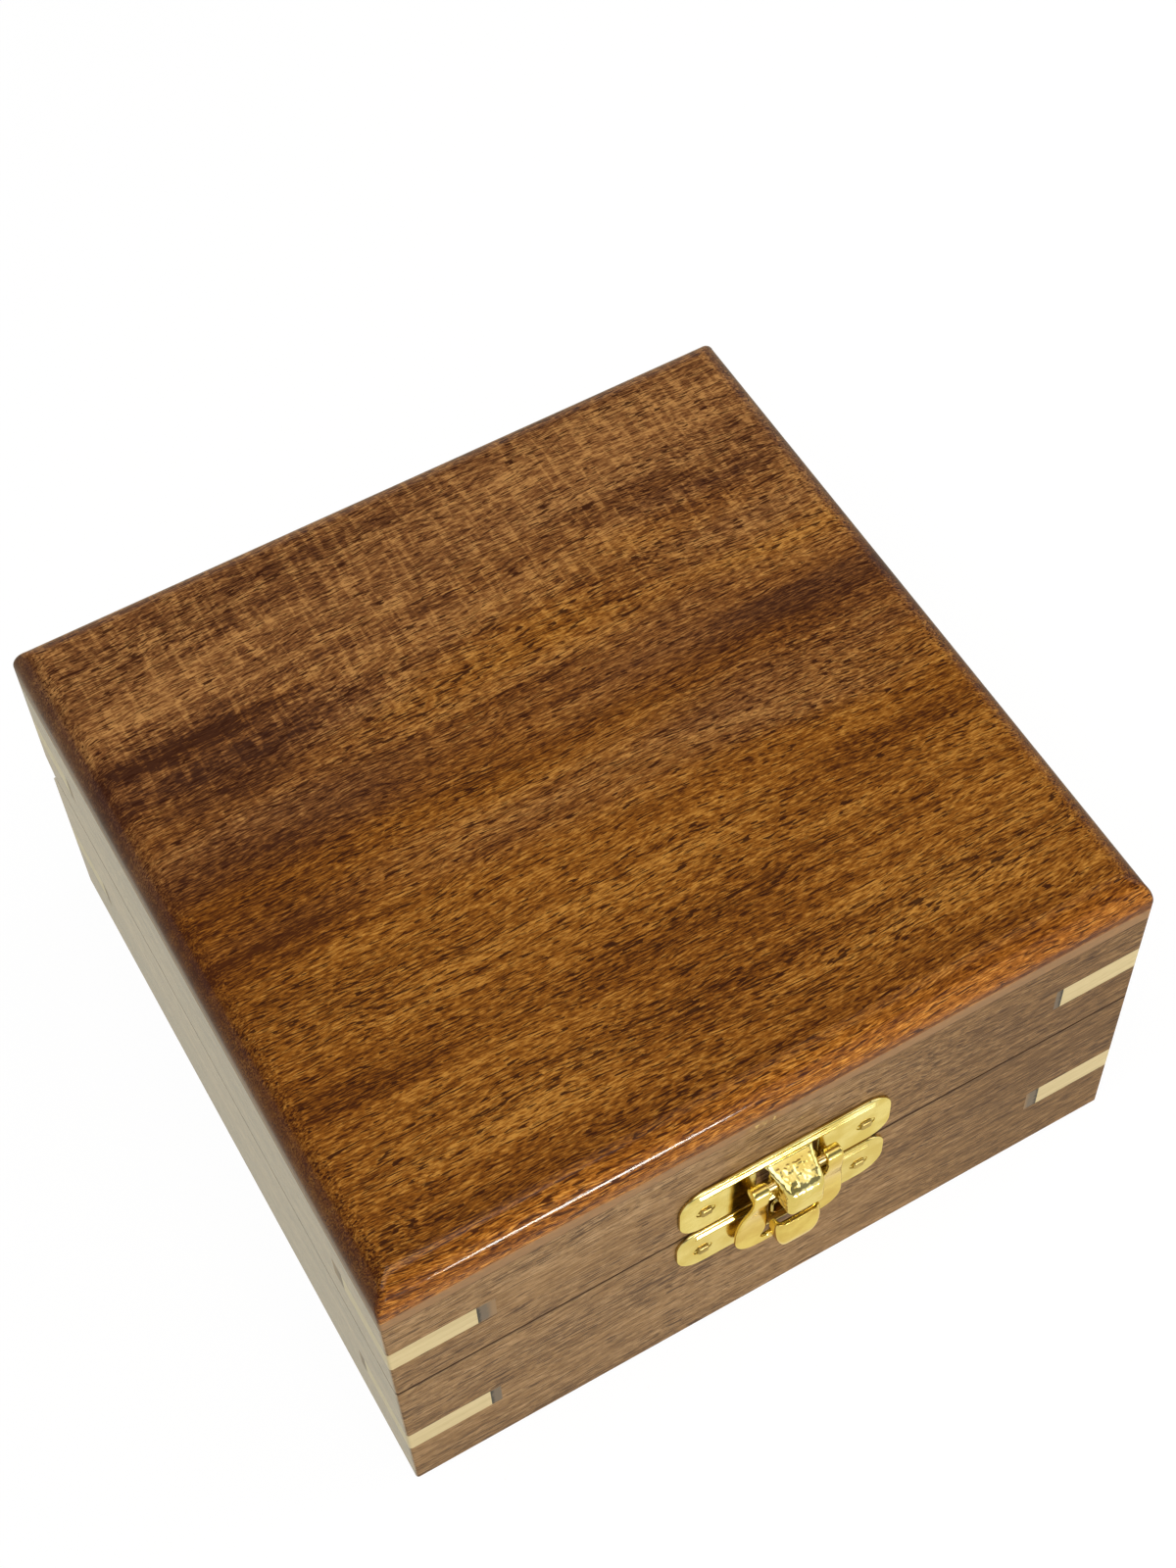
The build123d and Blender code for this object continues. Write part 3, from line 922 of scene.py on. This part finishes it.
FINISHES: dict[str, Finish] = {
    "front": WalnutFinish(
        name="walnut_front_and_back",
        grain=Grain.ALONG_X,
        roughness=0.5,
        specular=0.02,
        coat=0.13,
        coat_roughness=0.14,
        patches=FRONT_PAINTED_SHADE,
        **SIDE_WALNUT,
    ),
    "side": WalnutFinish(
        name="walnut_left_and_right",
        grain=Grain.ALONG_Y,
        roughness=0.32,
        specular=0.3,
        coat=0.2,
        coat_roughness=0.14,
        gloss_tint=(1.0, 0.98, 0.8),
        shift=17.0,
        **SIDE_WALNUT,
    ),
    "top": WalnutFinish(
        name="lacquered_walnut",
        grain=Grain.ALONG_X,
        warm=Tones((0.086, 0.0215, 0.003), (0.3, 0.098, 0.009), (0.65, 0.29, 0.05)),
        cool=Tones((0.063, 0.021, 0.009), (0.236, 0.087, 0.024), (0.585, 0.28, 0.085)),
        pore=(0.04, 0.009, 0.002),
        fibres=TOP_FIBRES,
        slots=TOP_SLOTS,
        streak_share=1.0,
        fibre_share=1.8,
        hole_start=0.565,
        hole_share=0.55,
        slot_start=0.64,
        pore_share=0.92,
        roughness=0.5,
        specular=0.02,
        coat=0.23,
        coat_roughness=0.075,
        coat_relief=0.055,
        shift=4.0,
        patches=TOP_PATCHES,
        figure=Figure(0.2),
        overlays=(EndGrain(TOP_END_TONE), BoardEdge((0.23, 0.135, 0.065), TOP_END_TONE)),
    ),
    "panel": PaleWoodFinish("plywood_panel", (0.46, 0.33, 0.2), (0.3, 0.19, 0.1)),
    "key": PaleWoodFinish("pale_key_wood", (0.52, 0.42, 0.215), (0.4, 0.305, 0.135)),
    "filler": FillerFinish("dark_filler"),
    "latch": BrassFinish("polished_brass", (0.76, 0.65, 0.28), (0.66, 0.53, 0.18), 0.16, 0.03),
    # Same brass as the base plate, coloured lighter: a painted highlight for the hood's bright top.
    "hood": BrassFinish(
        "hammered_brass_painted_lighter", (0.81, 0.71, 0.31), (0.69, 0.56, 0.18), 0.15, 0.03, hammered=0.18
    ),
    "lever": BrassFinish("lever_brass", (0.77, 0.62, 0.2), (0.64, 0.47, 0.13), 0.15, 0.03),
    "hinge": BrassFinish("hinge_brass", (0.88, 0.7, 0.33), (0.72, 0.53, 0.2), 0.22, 0.01),
    "pin": BrassFinish("drawn_brass", (0.84, 0.66, 0.3), (0.7, 0.5, 0.19), 0.26, 0.004),
    "nail": BrassFinish("nail_brass", (0.5, 0.38, 0.14), (0.28, 0.2, 0.07), 0.3, 0.01),
    "flock": PileFinish(
        "green_flock", (0.006, 0.028, 0.018), (0.022, 0.075, 0.05), 0.35, FLOCK_BRUSHING
    ),
    "velvet": PileFinish(
        "green_velvet", (0.007, 0.033, 0.021), (0.03, 0.095, 0.062), 0.7, VELVET_BRUSHING
    ),
}


class Paints:
    """The materials, each made once."""

    def __init__(self) -> None:
        """Make every finish."""
        self.made = {key: finish.build() for key, finish in FINISHES.items()}

    def coat(self, piece: bpy.types.Object, key: str) -> None:
        """Give a whole piece one finish.

        Args:
            piece: The piece.
            key: Key of the finish.
        """
        piece.data.materials.clear()
        piece.data.materials.append(self.made[key])
        for face in piece.data.polygons:
            face.material_index = 0


def body_of(node: str) -> str:
    """Name of the body that a CAD node rides on.

    Args:
        node: The CAD node.

    Returns:
        The body's name.
    """
    bodies = frame["record"]["behaviour"]["bodies"]
    return next(body for body, members in bodies.items() if node in members)


def stand(shape: bmesh.types.BMesh, name: str) -> bpy.types.Object:
    """Make an object of a shape and put it into the scene.

    Args:
        shape: The shape, which is freed.
        name: Name of the object.

    Returns:
        The object.
    """
    mesh = bpy.data.meshes.new(name)
    shape.to_mesh(mesh)
    shape.free()
    made = bpy.data.objects.new(name, mesh)
    bpy.context.scene.collection.objects.link(made)
    return made


def refine(
    node: str, name: str, shape_it: Optional[Callable[[bmesh.types.BMesh], None]] = None
) -> bpy.types.Object:
    """Stand a cleaned copy of a CAD node in its place, shaded smooth between its edges.

    Args:
        node: The CAD node.
        name: Name of the new piece.
        shape_it: Further work on the merged mesh.

    Returns:
        The new piece.
    """
    shape = bmesh.new()
    shape.from_mesh(frame["nodes"][node].data)
    bmesh.ops.remove_doubles(shape, verts=shape.verts, dist=MERGE_DISTANCE)
    bmesh.ops.dissolve_limit(
        shape, angle_limit=FLAT_ANGLE, verts=shape.verts, edges=shape.edges, delimit={"NORMAL"}
    )
    if shape_it is not None:
        shape_it(shape)
    for face in shape.faces:
        face.smooth = True
    for edge in shape.edges:
        edge.smooth = edge.calc_face_angle(0.0) < SHARP_ANGLE
    piece = stand(shape, name)
    weighted = piece.modifiers.new("even_shading", "WEIGHTED_NORMAL")
    weighted.keep_sharp = True
    weighted.weight = SHADING_WEIGHT
    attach(piece, body_of(node))
    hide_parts(node)
    return piece


def ease(shape: bmesh.types.BMesh, edges: Iterable[bmesh.types.BMEdge], radius: float) -> None:
    """Round edges over.

    Args:
        shape: The mesh.
        edges: The edges.
        radius: Width of the rounding in metres.
    """
    bmesh.ops.bevel(
        shape,
        geom=list(edges),
        offset=radius,
        segments=EASE_SEGMENTS,
        profile=0.5,
        affect="EDGES",
        material=-1,
        clamp_overlap=True,
    )


def settle(piece: bpy.types.Object) -> None:
    """Put a piece's modifiers into its mesh.

    Args:
        piece: The piece.
    """
    evaluated = piece.evaluated_get(bpy.context.evaluated_depsgraph_get())
    mesh = bpy.data.meshes.new_from_object(evaluated)
    piece.modifiers.clear()
    piece.data = mesh


def remesh(piece: bpy.types.Object, size: float) -> None:
    """Give a piece an even mesh.

    Args:
        piece: The piece.
        size: Width of a voxel in metres.
    """
    voxels = piece.modifiers.new("voxels", "REMESH")
    voxels.mode = "VOXEL"
    voxels.voxel_size = size
    settle(piece)


@dataclass
class Carcass:
    """The mitred walls of both halves with their keys, fillers and bottom."""

    paints: Paints
    rim_ease: float = 0.25 * MM
    foot_ease: float = 0.4 * MM
    near: float = 0.01 * MM
    least_length: float = 1.0 * MM

    def build(self) -> list[bpy.types.Object]:
        """Make both halves.

        Returns:
            The pieces.
        """
        made = []
        for level in Level:
            for side in SIDES:
                made.append(self.wall(level, side))
            self.keys(level)
        self.paints.coat(frame["nodes"]["base_bottom"], "panel")
        return made

    def wall(self, level: Level, side: str) -> bpy.types.Object:
        """One wall, its rim at the seam eased, and its foot where it has one.

        Args:
            level: The half that it belongs to.
            side: The side of the box that it closes.

        Returns:
            The wall.
        """
        node = f"{level.value}_{side}"
        low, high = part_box(node)
        rims = {high[2]: self.rim_ease, low[2]: self.foot_ease}
        if level is Level.LID:
            rims = {low[2]: self.rim_ease}
        across = 1 if side in ("front", "back") else 0

        def ease_rims(shape: bmesh.types.BMesh) -> None:
            """Ease the wall's long edges at each of the heights."""
            for height, radius in rims.items():
                rim = [edge for edge in shape.edges if self.runs(edge, height, across)]
                ease(shape, rim, radius)

        piece = refine(node, f"{node}_wall", ease_rims)
        self.paints.coat(piece, "front" if across else "side")
        return piece

    def runs(self, edge: bmesh.types.BMEdge, height: float, across: int) -> bool:
        """Whether an edge runs along a wall's rim.

        Args:
            edge: The edge.
            height: Height of the rim.
            across: Index of the axis across the wall.

        Returns:
            True where it does.
        """
        first, second = (vert.co for vert in edge.verts)
        level_with = max(abs(first.z - height), abs(second.z - height)) < self.near
        straight = abs(first[across] - second[across]) < self.near
        return level_with and straight and edge.calc_length() > self.least_length

    def keys(self, level: Level) -> None:
        """Finish the keys and the filler behind them.

        Args:
            level: The half that they are in.
        """
        for corner in CORNERS:
            self.paints.coat(frame["nodes"][f"{level.value}_key_{corner}"], "key")
        self.paints.coat(frame["nodes"][f"{level.value}_key_fillers"], "filler")


@dataclass
class TopBoard:
    """The lacquered board glued on the lid's walls."""

    paints: Paints

    def build(self) -> list[bpy.types.Object]:
        """Make the board.

        Returns:
            The piece.
        """
        board = refine("lid_top", "top_board")
        self.paints.coat(board, "top")
        return [board]


@dataclass
class Hinges:
    """The two butt hinges with their screws."""

    paints: Paints

    def build(self) -> list[bpy.types.Object]:
        """Make both hinges.

        Returns:
            The pieces.
        """
        made = []
        for hand in ("left", "right"):
            for part, key in (("base_leaf", "hinge"), ("lid_leaf", "hinge"), ("pin", "pin")):
                piece = refine(f"hinge_{hand}_{part}", f"hinge_{hand}_{part}_brass")
                self.paints.coat(piece, key)
                made.append(piece)
        for level in Level:
            screws = refine(f"hinge_{level.value}_screws", f"hinge_{level.value}_screws_brass")
            self.paints.coat(screws, "hinge")
            made.append(screws)
        return made


@dataclass
class Latch:
    """The pressed plates, the swinging lever, its pin and the nails."""

    paints: Paints
    voxel: float = 0.13 * MM
    smoothing: float = 0.5
    plate_rounds: int = 3
    lever_rounds: int = 12

    def build(self) -> list[bpy.types.Object]:
        """Make the latch.

        Returns:
            The pieces.
        """
        pressed = {"latch_lid_plate": "hood", "latch_base_plate": "latch", "latch_lever": "lever"}
        drawn = {"latch_pin": "pin", "latch_lid_nails": "nail", "latch_base_nails": "nail"}
        made = []
        for node, key in (pressed | drawn).items():
            piece = refine(node, f"{node}_brass")
            if node in pressed:
                self.soften(piece, self.lever_rounds if key == "lever" else self.plate_rounds)
            self.paints.coat(piece, key)
            made.append(piece)
        return made

    def soften(self, piece: bpy.types.Object, rounds: int) -> None:
        """Round every edge a little, as pressing and polishing do.

        Args:
            piece: The piece.
            rounds: How many times its mesh is smoothed.
        """
        piece.modifiers.clear()
        remesh(piece, self.voxel)
        shape = bmesh.new()
        shape.from_mesh(piece.data)
        for _ in range(rounds):
            bmesh.ops.smooth_vert(
                shape,
                verts=shape.verts,
                factor=self.smoothing,
                use_axis_x=True,
                use_axis_y=True,
                use_axis_z=True,
            )
        for face in shape.faces:
            face.smooth = True
        shape.to_mesh(piece.data)
        shape.free()


@dataclass
class Lining:
    """The flocked tray in the base and the velvet pad in the lid."""

    paints: Paints
    tray_ease: float = 1.0 * MM
    tray_corner: float = 1.6 * MM
    near: float = 0.02 * MM
    pad_margin: float = 1.2 * MM
    pad_ease: float = 2.0 * MM
    pad_voxel: float = 2.5 * MM
    pad_cap: float = 1.6 * MM
    pad_frames: int = 20
    pad_pressure: float = 4.0
    pad_mass: float = 0.05
    pad_quality: int = 6

    def build(self) -> list[bpy.types.Object]:
        """Make the lining.

        Returns:
            The pieces.
        """
        return [self.tray(), self.pad()]

    def tray(self) -> bpy.types.Object:
        """Foam tray under flock, its upper outer edge softened.

        Returns:
            The tray.
        """
        low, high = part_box("tray_insert")

        def soften(shape: bmesh.types.BMesh) -> None:
            """Round the tray's upper outer edge."""
            outer = [
                edge
                for edge in shape.edges
                if all(self.on_outline(vert.co, low, high) for vert in edge.verts)
            ]
            ease(shape, outer, self.tray_ease)

        tray = refine("tray_insert", "tray_flock", soften)
        self.paints.coat(tray, "flock")
        return tray

    def on_outline(self, point: Vector, low: Vector, high: Vector) -> bool:
        """Whether a point lies on the tray's outline at its top.

        Args:
            point: The point.
            low: Lowest corner of the tray's box.
            high: Highest corner of the tray's box.

        Returns:
            True where it does.
        """
        if abs(point.z - high[2]) > self.near:
            return False
        x_inside = min(point.x - low[0], high[0] - point.x)
        y_inside = min(point.y - low[1], high[1] - point.y)
        in_corner = x_inside < self.tray_corner and y_inside < self.tray_corner
        return min(x_inside, y_inside) < self.near or in_corner

    def pad(self) -> bpy.types.Object:
        """Velvet pad that swells a little between its edges.

        Returns:
            The pad.
        """
        low, high = (Vector(corner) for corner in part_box("lid_pad"))
        inset = Vector((self.pad_margin, self.pad_margin, 0.0))
        low, high = low + inset + Vector((0, 0, self.pad_margin)), high - inset
        shape = bmesh.new()
        bmesh.ops.create_cube(shape, size=1.0)
        bmesh.ops.scale(shape, vec=high - low, verts=shape.verts)
        bmesh.ops.translate(shape, vec=(low + high) / 2, verts=shape.verts)
        ease(shape, shape.edges[:], self.pad_ease)
        pad = stand(shape, "lid_pad_velvet")
        remesh(pad, self.pad_voxel)
        self.swell(pad, high.z)
        for face in pad.data.polygons:
            face.use_smooth = True
        round_off = pad.modifiers.new("round_off", "SUBSURF")
        round_off.levels = 1
        round_off.render_levels = 1
        self.paints.coat(pad, "velvet")
        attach(pad, body_of("lid_pad"))
        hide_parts("lid_pad")
        return pad

    def swell(self, pad: bpy.types.Object, top: float) -> None:
        """Blow the pad up with the cloth solver, and cap how far it moves.

        Args:
            pad: The pad.
            top: Height that no part of it may pass, in metres.
        """
        rest = [vert.co.copy() for vert in pad.data.vertices]
        cloth = pad.modifiers.new("cloth", "CLOTH")
        cloth.settings.use_pressure = True
        cloth.settings.uniform_pressure_force = self.pad_pressure
        cloth.settings.effector_weights.gravity = 0.0
        cloth.settings.mass = self.pad_mass
        cloth.settings.quality = self.pad_quality
        for count in range(1, self.pad_frames + 1):
            bpy.context.scene.frame_set(count)
        settle(pad)
        bpy.context.scene.frame_set(1)
        for vert, place in zip(pad.data.vertices, rest):
            move = vert.co - place
            if move.length > self.pad_cap:
                move *= self.pad_cap / move.length
            vert.co = place + move
            vert.co.z = min(vert.co.z, top)


@dataclass(frozen=True)
class Lamp:
    """Soft lamp, in metres and watts."""

    name: str
    place: Point
    size: tuple[float, float]
    power: float
    tint: Colour = WHITE
    outline: Outline = Outline.RECTANGLE


@dataclass(frozen=True)
class Fade:
    """Brightness that changes between two heights of the sky, from below to above."""

    low: float
    high: float
    below: float
    above: float


LAMPS = (
    Lamp("sky_light", (-0.35, -0.25, 1.1), (0.9, 0.9), 7.0),
    Lamp(
        "window", (0.078, -0.649, 0.034), (0.12, 0.065), 2.4, (1.0, 0.94, 0.84), Outline.ELLIPSE
    ),
    Lamp("front_fill", (0.2, -0.8, 0.38), (0.4, 0.15), 0.12),
    Lamp("panel", (0.25, -0.09, 1.0), (0.5, 0.5), 0.8, (1.0, 0.87, 0.62)),
    Lamp("side_light", (0.9, -0.1, 0.6), (0.7, 0.7), 2.7),
)


@dataclass
class Studio:
    """Floor, lights, world and the camera of the photograph."""

    place: Vector = Vector((-95.8514, -195.4872, 395.7881)) * MM
    right: Vector = Vector((0.8685964944, -0.4946710473, -0.0289945657))
    down: Vector = Vector((-0.4282763164, -0.7200075299, -0.5460481240))
    ahead: Vector = Vector((0.2492378918, 0.4867131721, -0.8372519104))
    focal_pixels: float = 2686.6
    frame_pixels: float = 1600.0
    film: float = 36.0
    near_clip: float = 0.01
    lamp_aim: Point = (0.0, 0.0, 0.04)
    floor_size: float = 5.0
    floor_colour: Colour = (0.95, 0.95, 0.95)
    floor_roughness: float = 0.9
    white_share: float = 0.92
    glow: float = 1.0
    paper: Colour = (1.03, 1.03, 1.03)
    mirrored: Colour = (1.0, 0.96, 0.77)
    room: Fade = Fade(0.15, 0.85, 0.4, 0.12)
    horizon: Fade = Fade(0.2, 0.45, 0.93, 0.25)

    def build(self) -> None:
        """Make everything that isn't part of the box."""
        self.floor()
        for plan in LAMPS:
            self.light(plan)
        self.world()
        self.camera()
        bpy.context.scene.view_settings.view_transform = "Standard"

    def floor(self) -> None:
        """Plain white floor that keeps a faint shadow."""
        shape = bmesh.new()
        bmesh.ops.create_grid(shape, x_segments=1, y_segments=1, size=self.floor_size / 2)
        floor = stand(shape, "floor")
        g = Graph("floor_white")
        g.surface(Base_Color=self.floor_colour, Roughness=self.floor_roughness)
        eye = g.node("ShaderNodeLightPath").outputs["Is Camera Ray"]
        glow = g.node("ShaderNodeEmission", g.mix(eye, self.mirrored, self.paper), self.glow)
        share = g.maths("MULTIPLY", g.seen(), self.white_share)
        both = g.node("ShaderNodeMixShader", share, g.shader.outputs["BSDF"], glow.outputs[0])
        g.feed(g.output.inputs["Surface"], both.outputs[0])
        floor.data.materials.append(g.material)

    def light(self, plan: Lamp) -> None:
        """Put up one lamp.

        Args:
            plan: The lamp's settings.
        """
        light = bpy.data.lights.new(plan.name, "AREA")
        light.shape = plan.outline.value
        light.size, light.size_y = plan.size
        light.energy = plan.power
        light.color = plan.tint
        lamp = bpy.data.objects.new(plan.name, light)
        lamp.location = plan.place
        way = Vector(self.lamp_aim) - Vector(plan.place)
        lamp.rotation_euler = way.to_track_quat("-Z", "Y").to_euler()
        bpy.context.scene.collection.objects.link(lamp)

    def world(self) -> None:
        """Room that is dim overhead, and looks white towards the horizon."""
        world = bpy.data.worlds.new("studio")
        world.use_nodes = True
        n = Nodes(world.node_tree)
        height = n.split(n.node("ShaderNodeTexCoord").outputs["Generated"])[2]
        room, horizon = (n.step(height, *astuple(fade)) for fade in (self.room, self.horizon))
        both = n.node("ShaderNodeMix", n.seen())
        n.feed(both.inputs["A"], room)
        n.feed(both.inputs["B"], horizon)
        ground = n.tree.nodes["Background"]
        n.feed(ground.inputs["Color"], WHITE)
        n.feed(ground.inputs["Strength"], both.outputs[0])
        bpy.context.scene.world = world

    def camera(self) -> None:
        """The camera where the photograph was taken from."""
        data = bpy.data.cameras.new("camera")
        data.sensor_fit = "VERTICAL"
        data.sensor_height = self.film
        data.lens = self.focal_pixels / self.frame_pixels * self.film
        data.clip_start = self.near_clip
        camera = bpy.data.objects.new("camera", data)
        columns = (self.right, -self.down, -self.ahead, self.place)
        camera.matrix_world = Matrix(
            [[column[row] for column in columns] for row in range(3)] + [[0, 0, 0, 1]]
        )
        bpy.context.scene.collection.objects.link(camera)
        bpy.context.scene.camera = camera


def main() -> None:
    """Build every sub-assembly in order and log its pieces."""
    logging.basicConfig(level=logging.INFO, format="%(name)s: %(message)s")
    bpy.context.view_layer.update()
    paints = Paints()
    for part in (Carcass, TopBoard, Hinges, Latch, Lining):
        for piece in part(paints).build():
            LOG.info("%s: %s, %d faces", part.__name__, piece.name, len(piece.data.polygons))
    Studio().build()


if __name__ == "__main__":
    main()
